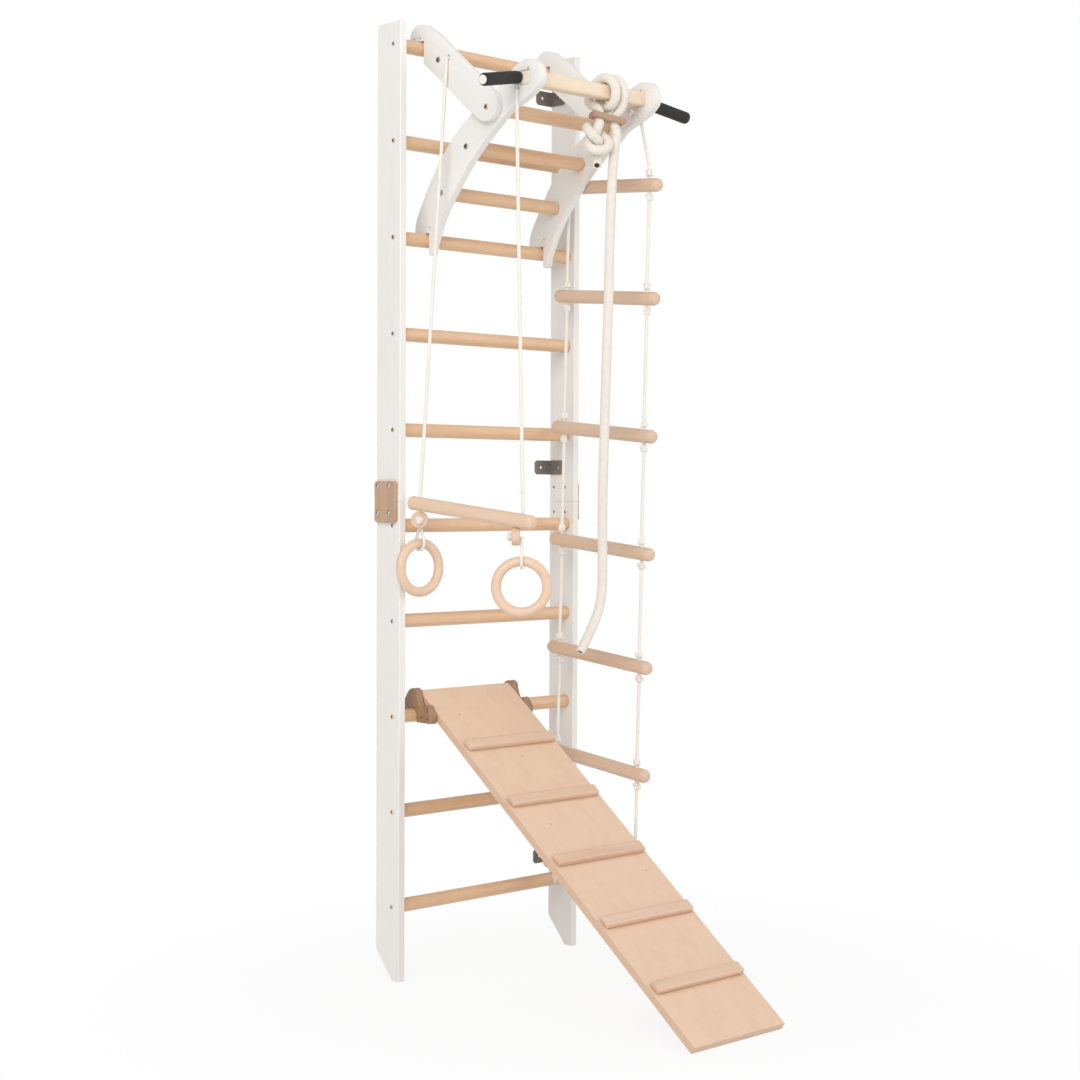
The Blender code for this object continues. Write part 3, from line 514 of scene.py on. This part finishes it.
def lathe(name, profile, place, way, body, material, steps=24, socket=None):
    """Turns a profile of (radius, height) round a line.

    The rings whose numbers are in socket are six-sided, and the faces from the first of them on are dark.
    """
    turn = Vector(way).to_track_quat("Z", "Y").to_matrix()
    form = bmesh.new()
    rings = []
    for number, (radius, height) in enumerate(profile):
        ring = []
        for step in range(steps):
            angle = 2 * math.pi * step / steps
            reach = radius
            if socket is not None and number in socket:
                reach = radius * math.cos(math.pi / 6) / math.cos(angle % (math.pi / 3) - math.pi / 6)
            ring.append(form.verts.new(Vector(place) + turn @ Vector((
                reach * math.cos(angle), reach * math.sin(angle), height))))
        rings.append(ring)
    for number, (low, high) in enumerate(zip(rings, rings[1:])):
        for step in range(steps):
            after = (step + 1) % steps
            face = form.faces.new((low[step], low[after], high[after], high[step]))
            face.material_index = 1 if socket is not None and number >= socket[0] else 0
    form.faces.new(list(reversed(rings[0])))
    form.faces.new(rings[-1]).material_index = 1 if socket is not None else 0
    bmesh.ops.recalc_face_normals(form, faces=form.faces)
    return from_form(name, form, body, [material, dark_steel] if socket is not None else material)


def bolt(name, place, way, body, sizes, finish):
    """A button-headed bolt with a six-sided socket, and its washer where it has one.

    sizes holds the head's diameter and rise, and the washer's diameter or zero.
    """
    head, rise, washer = sizes
    radius = head / 2
    base = 0.0002
    profile = []
    if washer:
        thick = 0.0011
        rim = 0.0003
        profile += [(washer / 2 - base, -base), (washer / 2, base), (washer / 2, thick - rim),
                    (washer / 2 - rim, thick)]
        base = thick
    else:
        profile += [(radius, -base)]
        base = 0.0
    profile += [(radius, base + 0.0001), (radius, base + 0.35 * rise), (0.88 * radius, base + 0.75 * rise),
                (0.68 * radius, base + 0.96 * rise), (0.50 * radius, base + rise),
                (0.44 * radius, base + rise), (0.42 * radius, base + 0.25 * rise),
                (0.10 * radius, base + 0.15 * rise)]
    last = len(profile)
    return lathe(name, profile, place, way, body, finish, 24, (last - 3, last - 2))


def pin_head(name, place, way, body, diameter=0.0038):
    """A small countersunk screw head, set just below its surface."""
    radius = diameter / 2
    profile = [(radius, -0.0004), (radius, 0.00015), (0.8 * radius, 0.0003), (0.55 * radius, 0.0003),
               (0.35 * radius, -0.0002), (0.1 * radius, -0.0003)]
    return lathe(name, profile, place, way, body, dark_steel, 12)


def rounded(node, width, material, segments=3):
    """A copy of a CAD plate with its edges rounded over, which stands for the plate."""
    source = nodes[node]
    weld = 0.00002
    form = bmesh.new()
    form.from_mesh(source.data)
    bmesh.ops.transform(form, matrix=source.matrix_world, verts=form.verts)
    bmesh.ops.remove_doubles(form, verts=form.verts, dist=weld)
    bmesh.ops.dissolve_limit(form, angle_limit=math.radians(1.0), verts=form.verts, edges=form.edges)
    mesh = bpy.data.meshes.new(node + "_finished")
    form.to_mesh(mesh)
    form.free()
    piece = bpy.data.objects.new(node + "_finished", mesh)
    bpy.context.scene.collection.objects.link(piece)
    edges = piece.modifiers.new("edges", "BEVEL")
    edges.width = width
    edges.segments = segments
    edges.limit_method = "ANGLE"
    edges.angle_limit = math.radians(50)
    bpy.context.view_layer.update()
    depsgraph = bpy.context.evaluated_depsgraph_get()
    made = bpy.data.meshes.new_from_object(piece.evaluated_get(depsgraph))
    piece.modifiers.clear()
    piece.data = made
    made.shade_smooth()
    made.set_sharp_from_angle(angle=math.radians(40))
    finish_piece(piece, body_of_node[node], material)
    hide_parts(node)
    return piece


def dress(prefix, material):
    """Gives the CAD nodes whose names start so their finish."""
    for name, node in nodes.items():
        if name.startswith(prefix):
            if not node.material_slots:
                node.data.materials.append(material)
            node.material_slots[0].material = material


# CAD nodes that show as they are
dress("post_", white)
dress("wall_rung_", beech_wall)
dress("cross_rung_", beech_wall)
dress("wall_bracket_", steel_dark)
dress("pullup_bar", beech_bar)
dress("climbing_board", board_face)
dress("board_cleat_", cleat_wood)
dress("trapeze_bar", beech_light)
dress("adjuster_disc_", disc_wood)
dress("ladder_rung_", beech_ladder)
dress("rope_adjuster", adjuster_wood)

# CAD plates whose edges are rounded over
for word in ("left", "right"):
    rounded(f"upper_arm_{word}", 0.0022, white)
    rounded(f"lower_arm_{word}", 0.0022, white)
    rounded(f"joint_plate_{word}", 0.0008, plate_wood, 2)
    rounded(f"board_hook_{word}", 0.0010, hook_wood, 2)


# Ropes
def rope_exits(side):
    """The two places beside the arms where a hanging rope starts, rear and front."""
    clear = thin_rope / 2 + rope_gap
    rear = spot(side * (upper_arm_outside + clear), *rear_hole)
    front = spot(side * (lower_arm_outside + clear), *front_hole)
    return rear, front


def knot_path(place, way, wide, tall, turn):
    """The line of a tight overhand knot round a point, as a closed three-lobed loop."""
    rotation = Vector(way).to_track_quat("Z", "Y").to_matrix() @ Matrix.Rotation(turn, 3, "Z")
    path = []
    count = 44
    for step in range(count):
        angle = 2 * math.pi * step / count
        loop = Vector((
            (math.sin(angle) + 2 * math.sin(2 * angle)) / 3 * wide,
            (math.cos(angle) - 2 * math.cos(2 * angle)) / 3 * wide,
            -math.sin(3 * angle) * tall,
        ))
        path.append(Vector(place) + rotation @ loop)
    return path


def knot(name, place, way, body, wide, tall, strand, turn=0.0):
    """A small knot in a thin rope."""
    return sweep(name, knot_path(place, way, wide, tall, turn), strand / 2, body, rope_thin, 10, closed=True)


trapeze_rear = spot(-trapeze_rear_side, -trapeze_rear_reach, trapeze_rear_height)
trapeze_front = spot(-trapeze_front_side, -trapeze_front_reach, trapeze_front_height)
trapeze_along = (trapeze_front - trapeze_rear).normalized()
trapeze_lift = trapeze_diameter / 2 / math.cos(math.asin(-trapeze_along.z)) + rope_gap


def make_side_ropes():
    """The trapeze's two ropes."""
    shares = ((0.0, 0.0), (0.02, 0.015), (0.06, 0.05), (0.3, 0.29), (0.6, 0.6), (1.0, 1.0))
    for word, start, seat in zip(("rear", "front"), rope_exits(-1), (trapeze_rear, trapeze_front)):
        fall = seat + Vector((0, 0, trapeze_lift)) - start
        points = [start + Vector((fall.x * side, fall.y * side, fall.z * down)) for down, side in shares]
        route = smooth_route(points, 0.012)
        piece = sweep(f"trapeze_rope_{word}_braided", route, thin_rope / 2, "trapeze", rope_thin, 14)
        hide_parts(f"trapeze_rope_{word}")


def make_ladder_ropes():
    """The ladder's two ropes, with a knot above and below each dowel."""
    exits = rope_exits(1)
    bends = ((0.0, 0.0), (0.15, 0.12), (0.55, 0.55), (0.85, 0.93), (1.0, 1.0))
    near = ladder_rung_diameter / 2 + 3 * rope_gap
    far = near + knot_length
    knot_middle = near + 0.0105
    for word, start, x, reach, drop in (
            ("rear", exits[0], exits[0].x, ladder_rear_reach, ladder_rung_drop / 2),
            ("front", exits[1], exits[1].x + ladder_splay, ladder_rear_reach + ladder_rope_spacing,
             -ladder_rung_drop / 2)):
        seats = [spot(x - ladder_lean * share, -reach, ladder_first_height - share * ladder_length + drop)
                 for share in ladder_height_shares]
        up = Vector((0, 0, far))
        fall = seats[0] + up - start
        lead = [start + Vector((fall.x * side, fall.y * side, fall.z * down)) for down, side in bends]
        run = [place for seat in seats for place in (seat + up, seat - up)]
        run.append(seats[-1] - up - Vector((0, 0, rope_tail)))
        route = smooth_route(lead, 0.02)[:-1] + smooth_route(run, 0.02)
        for number, seat in enumerate(seats):
            for level, rise in (("above", 1), ("below", -1)):
                middle = seat + Vector((0, 0, rise * knot_middle))
                name = f"ladder_knot_{word}_{number + 1}_{level}"
                knot(name, middle, (0.22 * rise, 0.25, 1), "rope_ladder", 0.0058, 0.0062, 0.0072,
                                  1.7 * number + rise)
        piece = sweep(f"ladder_rope_{word}_braided", route, thin_rope / 2, "rope_ladder", rope_thin, 14)
        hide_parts(f"ladder_rope_{word}")


def ring_pivot(word):
    """The middle of the top of a ring's rope, beside its disc."""
    reach, turn, ring_turn = {
        "rear": (rear_disc_reach, disc_turn, 0.0),
        "front": (front_disc_reach, disc_turn + math.pi / 2, disc_turn),
    }[word]
    share = (reach - trapeze_rear_reach) / (trapeze_front_reach - trapeze_rear_reach)
    middle = trapeze_rear.lerp(trapeze_front, share) - Vector((0, 0, trapeze_lift + disc_diameter / 2))
    way = Vector((math.sin(turn), math.cos(turn), 0))
    strand_reach = strand_half_gap * abs(math.cos(turn - ring_turn))
    stand_off = disc_thickness / 2 + ring_rope / 2 + strand_reach + rope_gap
    return middle, way, middle + way * stand_off, ring_turn


def make_rings():
    """Each ring in the loop of its own rope, and the knot on its disc."""
    ring_steps = 72
    for word in ("rear", "front"):
        disc_middle, way, pivot, ring_turn = ring_pivot(word)
        body = f"ring_{word}_body"
        normal = Vector((math.sin(ring_turn), math.cos(ring_turn), 0))
        wrap = (ring_tube + ring_rope) / 2 + rope_gap
        below = disc_diameter / 2 + ring_rope / 2
        shape = [(strand_half_gap, 0), (strand_half_gap, -below * 0.6), (strand_half_gap * 1.15, -below),
                 (wrap, -ring_hang + wrap * 0.45)]
        loop = [Vector((-across, up)) for across, up in shape]
        for step in range(9):
            angle = math.pi + math.pi * step / 8
            loop.append(Vector((wrap * math.cos(angle), -ring_hang + wrap * math.sin(angle))))
        loop += [Vector((across, up)) for across, up in reversed(shape)]
        route = smooth_route([pivot + normal * point.x + Vector((0, 0, point.y)) for point in loop], 0.004)
        piece = sweep(f"ring_rope_{word}_braided", route, ring_rope / 2, body, rope_thin, 12)
        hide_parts(f"ring_rope_{word}")
        middle = pivot - Vector((0, 0, ring_hang + ring_diameter / 2 - ring_tube / 2))
        level = normal.cross(Vector((0, 0, 1)))
        circle = []
        for step in range(ring_steps):
            angle = 2 * math.pi * step / ring_steps
            out = math.cos(angle) * Vector((0, 0, 1)) + math.sin(angle) * level
            circle.append(middle + (ring_diameter - ring_tube) / 2 * out)
        ring = sweep(f"ring_{word}_turned", circle, ring_tube / 2, body, beech_light, 24, closed=True)
        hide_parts(f"ring_{word}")
        knot(f"disc_knot_{word}_outer", disc_middle - way * 0.0125, way, "trapeze",
             0.0068, 0.0034, 0.0074, 0.5)


def wound_place(angle, x):
    """A place on the thick rope's axis round the bar: angle 0 is below the bar, a quarter turn behind it."""
    corner = (bar_size / 2 - bar_edge) * math.sqrt(2) + bar_edge
    out = corner + climbing_rope / 2 + 1.5 * rope_gap
    return spot(x, bar_y + out * math.sin(angle), bar_z - out * math.cos(angle))


# The thick rope's overhand knot, in shares of its size, from the tail up
stopper_knot = (
    (0.07, 0.06, -1.01), (-0.09, -0.11, -0.62), (-0.37, -0.36, -0.36), (-0.75, -0.41, -0.11),
    (-1.06, -0.26, 0.19), (-1.21, 0.02, 0.52), (-1.17, 0.36, 0.83), (-0.95, 0.68, 1.05),
    (-0.58, 0.93, 1.17), (-0.13, 1.02, 1.16), (0.3, 0.96, 1.04), (0.64, 0.75, 0.81),
    (0.81, 0.45, 0.52), (0.82, 0.09, 0.22), (0.81, -0.27, -0.07), (0.77, -0.62, -0.37),
    (0.59, -0.88, -0.7), (0.28, -0.99, -1.01), (-0.12, -0.95, -1.23), (-0.51, -0.74, -1.33),
    (-0.82, -0.41, -1.3), (-1.0, -0.02, -1.12), (-1.01, 0.32, -0.83), (-0.87, 0.56, -0.46),
    (-0.61, 0.63, -0.09), (-0.33, 0.49, 0.24), (-0.19, 0.19, 0.54), (-0.16, 0.0, 0.96),
)


def make_long_rope():
    """The thick rope: knotted under its slat, wound round the bar, and down to its free end."""
    bar = spot(0, bar_y, bar_z)
    knot_middle = bar + Vector((0.0408, 0.0045, -0.1045))
    tail = ((0.0300, -0.0021, -0.1680), (0.0395, 0.0056, -0.1565), (0.0426, 0.0085, -0.1403))
    rise = ((0.0438, 0.0037, -0.0675), (0.0457, 0.0078, -0.0591), (0.0473, 0.0067, -0.0540),
            (0.0422, 0.0082, -0.0368), (0.0396, 0.0350, -0.0158))
    drop = ((0.0863, -0.0321, -0.0076), (0.0872, -0.0247, -0.0280), (0.0812, -0.0126, -0.0488),
            (0.0798, -0.0105, -0.0551), (0.0794, -0.0091, -0.0643), (0.0846, -0.0104, -0.0956))
    fall = ((0.0785, -0.0100, -0.121), (0.0713, -0.0098, -0.197), (0.0648, -0.0098, -0.333),
            (0.0615, -0.0098, -0.470), (0.0561, -0.0098, -0.606), (0.0508, -0.0098, -0.765),
            (0.0468, -0.0098, -0.879), (0.0458, -0.0098, -0.970), (0.0465, -0.0098, -1.061),
            (0.0453, -0.0098, -1.130), (0.0329, -0.0098, -1.179), (0.0110, -0.0098, -1.219),
            (-0.0139, -0.0098, -1.255), (-0.0232, -0.0098, -1.268))
    knotted = [knot_middle + Vector(share) * stopper_knot_size for share in stopper_knot]
    wound = []
    for step in range(4, 71):
        turns = step / wrap_steps
        wound.append(wound_place(math.pi / 2 + 2 * math.pi * turns, wrap_start + wrap_pitch * turns))
    upper = [bar + Vector(point) for point in tail] + knotted
    upper += [bar + Vector(point) for point in rise] + wound
    upper += [bar + Vector(point) for point in drop]
    lower = smooth_route(upper[-1:] + [bar + Vector(point) for point in fall], climbing_rope)
    fine = smooth_route(upper, climbing_rope / 5)[:-1] + smooth_route(lower, climbing_rope / 3)
    # The second material is the near-black painted shade at the bottom of the cut ends' recesses.
    piece = sweep("long_rope_braided", fine, climbing_rope / 2, "long_rope", [rope_thick, rope_end_shade_material], 24,
                  hollow=True)
    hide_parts("climbing_rope")


make_side_ropes()
make_ladder_ropes()
make_rings()
make_long_rope()


def make_stopper_knots():
    """The thin ropes inside the arms' holes, their stopper knots, and a small dark screw head over each rope
    that is painted shade for the shadow in the hole's mouth.
    """
    for word, side in (("left", -1), ("right", 1)):
        out = (side, 0, 0)
        for where, hole, outer, inner in (
                ("rear", rear_hole, upper_arm_outside, lower_arm_outside),
                ("front", front_hole, lower_arm_outside, frame_clear_width / 2)):
            stub = [spot(side * x, *hole)
                    for x in (outer + 0.0030, outer - 0.002, (outer + inner) / 2, inner - 0.004)]
            sweep(f"rope_stub_{word}_{where}", smooth_route(stub, 0.004), thin_rope / 2, "pullup_frame",
                  rope_thin, 12)
            knot(f"stopper_knot_{word}_{where}", spot(side * (inner - 0.0095), *hole), out, "pullup_frame",
                 0.0070, 0.0038, 0.0068, 0.4)
            # A dark screw head set just above where the rope leaves the hole: painted shade for the shadow in
            # the hole's mouth, not a real part.
            pin_head(f"painted_hole_shadow_{word}_{where}", spot(side * outer, hole[0] - 0.0012, hole[1] + 0.0056),
                     out, "pullup_frame", 0.0034)


make_stopper_knots()


# Fasteners; for bolts and nuts the head's diameter, its rise, and the washer's diameter
rung_bolt = (0.0108, 0.0024, 0.0)
plate_bolt = (0.0082, 0.0018, 0.0136)
plate_nut = (0.0086, 0.0010, 0.0)
arm_bolt = (0.0134, 0.0024, 0.0)


def make_bar_fasteners():
    """The bolts of the wall rungs and of the plates that join the posts."""
    for word, side in (("left", -1), ("right", 1)):
        out = (side, 0, 0)
        for number in range(rung_count):
            finish = brass if number in (1, 2, 5, 7, 8) else zinc
            bolt(f"rung_bolt_{word}_{number + 1:02d}",
                 spot(side * post_outside, -0.003, first_rung_height + number * rung_pitch), out,
                 "wall_bars", rung_bolt, finish)
        plate_face = side * (post_outside + fit_gap + plate_thickness)
        for level, height in (("high", 1.1408), ("low", 1.0792)):
            for row, y in (("front", 0.0012), ("back", 0.0412)):
                bolt(f"joint_bolt_{word}_{level}_{row}", spot(plate_face, y, height), out, "wall_bars",
                     plate_bolt, zinc)
                bolt(f"joint_nut_{word}_{level}_{row}", spot(side * clear_width / 2, y, height),
                     (-side, 0, 0), "wall_bars", plate_nut, zinc)


def make_frame_fasteners():
    """The bolts of the arms and the screws that show on their faces."""
    for word, side in (("left", -1), ("right", 1)):
        out = (side, 0, 0)
        outer_face = side * upper_arm_outside
        low_face = side * lower_arm_outside
        for where, y, z, finish in (("hook", -0.0701, 2.1142, zinc_worn),
                                    ("crossing", -0.2372, 1.9843, brass)):
            bolt(f"arm_bolt_{word}_{where}", spot(outer_face, y, z), out, "pullup_frame", arm_bolt, finish)
        for letter, forward, rise in (("b", 0.427, 0.4545), ("c", 0.173, 0.2386)):
            bolt(f"arm_bolt_{word}_{letter}",
                 spot(low_face, -forward * arm_reach, third_rung + rise * hook_span), out, "pullup_frame",
                 arm_bolt, zinc_worn)
        pins = ((outer_face, 0.0178, 2.1750), (outer_face, -0.0050, 2.1735), (low_face, -0.0200, 1.7400),
                (low_face, -0.3550, 2.0560))
        for number, (x, y, z) in enumerate(pins):
            pin_head(f"arm_pin_{word}_{number + 1}", spot(x, y, z), out, "pullup_frame")
        inner_pins = ((-0.0190, 1.7440), (-0.3464, 2.0570))
        for number, (y, z) in enumerate(inner_pins):
            pin_head(f"arm_inner_pin_{word}_{number + 1}", spot(side * frame_clear_width / 2, y, z),
                     (-side, 0, 0), "pullup_frame")


def make_board_fasteners():
    """The screws of the board's hooks and the heads that show on its face."""
    board_right = board_width - board_left
    board_top = first_rung_height + (board_rung - 1) * rung_pitch + board_top_above_rung
    for word, face, out in (("left", -board_left - fit_gap - hook_thickness, -1),
                            ("right", board_right + fit_gap + hook_thickness, 1)):
        for number, (y, z) in enumerate(((-0.0555, 0.6250), (-0.0347, 0.6065), (-0.0558, 0.6045))):
            pin_head(f"hook_screw_{word}_{number + 1}", spot(face, y, z), (out, 0, 0), "board", 0.0044)
    up = Vector(board_up)
    down = Vector((0, -board_run, -board_rise))
    for number, (x, along) in enumerate(((-0.1445, 0.094), (-0.057, 0.247), (-0.126, 0.461), (0.032, 0.634))):
        place = spot(x, -board_top_reach, board_top) + down * along
        pin_head(f"board_pin_{number + 1}", place, up, "board", 0.0030)


make_bar_fasteners()
make_frame_fasteners()
make_board_fasteners()


# Hand grips
def make_grips():
    """The foam sleeves of the hand grips and the wooden cores that show at their ends."""
    for word, side in (("left", -1), ("right", 1)):
        start = spot(side * (lower_arm_outside + fit_gap), bar_y + grip_set_back, bar_z)
        turn = start + Vector((side * grip_diameter / 2, 0, 0))
        end = start + Vector((side * grip_length, -grip_sweep, -grip_drop))
        way = (end - turn).normalized()
        route = smooth_route([start, turn, turn.lerp(end, 0.5), end], 0.004)
        sleeve = sweep(f"grip_sleeve_{word}", route, grip_diameter / 2, "pullup_frame", grip_foam, 28)
        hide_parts(f"hand_grip_{word}")
        profile = [(0.0100, -0.004), (0.0100, 0.0024), (0.0094, 0.0030), (0.0075, 0.0032),
                   (0.0020, 0.0033)]
        lathe(f"grip_core_{word}", profile, end, way, "pullup_frame", beech_end, 28)


make_grips()


# Floor, world and lamps
def make_floor():
    """A white floor that glows to the camera, less so near the object, so that its shadow shows."""
    form = bmesh.new()
    bmesh.ops.create_circle(form, cap_ends=True, segments=64, radius=14.0)
    mesh = bpy.data.meshes.new("studio_floor")
    form.to_mesh(mesh)
    form.free()
    floor = bpy.data.objects.new("studio_floor", mesh)
    floor.location.z = -0.0005
    bpy.context.scene.collection.objects.link(floor)
    made = Nodes("studio_floor", 0.9)
    made.colour((0.90, 0.90, 0.895))
    rays = made.add("ShaderNodeLightPath")
    glow = made.add("ShaderNodeEmission")
    glow.inputs["Strength"].default_value = 1.0
    coordinates = made.add("ShaderNodeTexCoord")
    distance = made.add("ShaderNodeVectorMath", operation="LENGTH")
    made.link(coordinates.outputs["Object"], distance.inputs[0])
    fade = made.add("ShaderNodeMapRange", interpolation_type="SMOOTHSTEP")
    fade.inputs["From Min"].default_value = 0.45
    fade.inputs["From Max"].default_value = 1.35
    fade.inputs["To Min"].default_value = 0.88
    fade.inputs["To Max"].default_value = 1.0
    made.link(distance.outputs["Value"], fade.inputs["Value"])
    seen = made.math("MAXIMUM", rays.outputs["Is Camera Ray"],
                     made.math("MAXIMUM", rays.outputs["Is Glossy Ray"], rays.outputs["Is Transmission Ray"]))
    share = made.math("MULTIPLY", seen, fade.outputs["Result"])
    mix = made.add("ShaderNodeMixShader")
    made.link(share, mix.inputs["Fac"])
    made.link(made.shader.outputs["BSDF"], mix.inputs[1])
    made.link(glow.outputs["Emission"], mix.inputs[2])
    made.link(mix.outputs["Shader"], made.tree.nodes["Material Output"].inputs["Surface"])
    mesh.materials.append(made.material)


def make_world():
    """A white room: pure white to the camera, and for light brighter in front than behind."""
    world = bpy.data.worlds.new("studio")
    world.use_nodes = True
    bpy.context.scene.world = world
    tree = world.node_tree
    background = tree.nodes["Background"]
    background.inputs["Color"].default_value = (1.0, 1.0, 1.0, 1.0)
    path = tree.nodes.new("ShaderNodeLightPath")
    seen = tree.nodes.new("ShaderNodeMath")
    seen.operation = "MAXIMUM"
    tree.links.new(path.outputs["Is Camera Ray"], seen.inputs[0])
    tree.links.new(path.outputs["Is Transmission Ray"], seen.inputs[1])
    coordinates = tree.nodes.new("ShaderNodeTexCoord")
    parts = tree.nodes.new("ShaderNodeSeparateXYZ")
    tree.links.new(coordinates.outputs["Generated"], parts.inputs[0])
    room = tree.nodes.new("ShaderNodeMapRange")
    room.inputs["From Min"].default_value = -0.3
    room.inputs["From Max"].default_value = 0.6
    room.inputs["To Min"].default_value = 0.80
    room.inputs["To Max"].default_value = 0.42
    tree.links.new(parts.outputs["Y"], room.inputs["Value"])
    strength = tree.nodes.new("ShaderNodeMapRange")
    strength.inputs["To Max"].default_value = 1.0
    tree.links.new(seen.outputs["Value"], strength.inputs["Value"])
    tree.links.new(room.outputs["Result"], strength.inputs["To Min"])
    tree.links.new(strength.outputs["Result"], background.inputs["Strength"])


def make_lamps():
    """Two large soft lamps, at the left and at the right in front."""
    for name, place, aim, size, power in (
            ("key_light", (-3.8, -2.0, 3.4), (0, 0.2, 1.0), 3.4, 101.0),
            ("front_light", (2.6, -3.4, 2.4), (0, 0.1, 1.0), 2.4, 24.0)):
        data = bpy.data.lights.new(name, "AREA")
        data.size = size
        data.energy = power
        lamp = bpy.data.objects.new(name, data)
        bpy.context.scene.collection.objects.link(lamp)
        lamp.location = place
        lamp.rotation_euler = (Vector(aim) - Vector(place)).to_track_quat("-Z", "Y").to_euler()


make_floor()
make_world()
make_lamps()
bpy.context.scene.view_settings.view_transform = "Standard"
